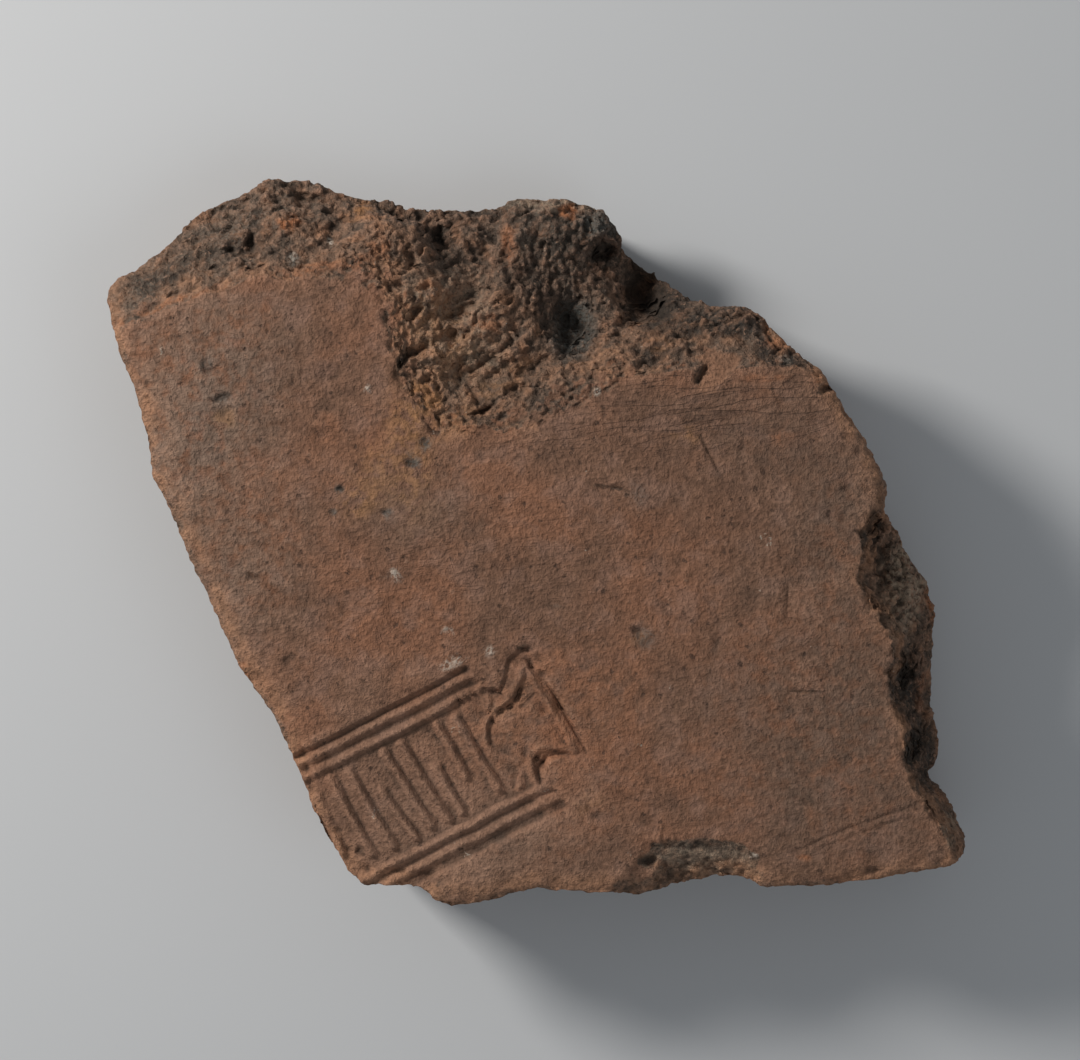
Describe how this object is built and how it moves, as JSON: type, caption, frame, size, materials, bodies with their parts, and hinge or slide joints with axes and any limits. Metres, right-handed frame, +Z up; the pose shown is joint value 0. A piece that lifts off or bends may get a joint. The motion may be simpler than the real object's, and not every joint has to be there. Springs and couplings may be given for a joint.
{
  "type": "inscribed clay tile fragment",
  "caption": "Broken slab of fired clay with a worn face, rough fracture edges and a slanted stamped frame with a dovetail end, holding a row of plain strokes.",
  "frame": {"origin": "middle of the box that holds the fragment, on its flat underside", "axes": "+Z up out of the stamped face, +X along the longest side, with the stamp at the -X, -Y corner"},
  "size_m": [0.259, 0.219, 0.0499],
  "materials": {
    "fired_clay": "matte"
  },
  "bodies": {
    "root": {"tile_fragment": "fired_clay"}
  },
  "joints": []
}
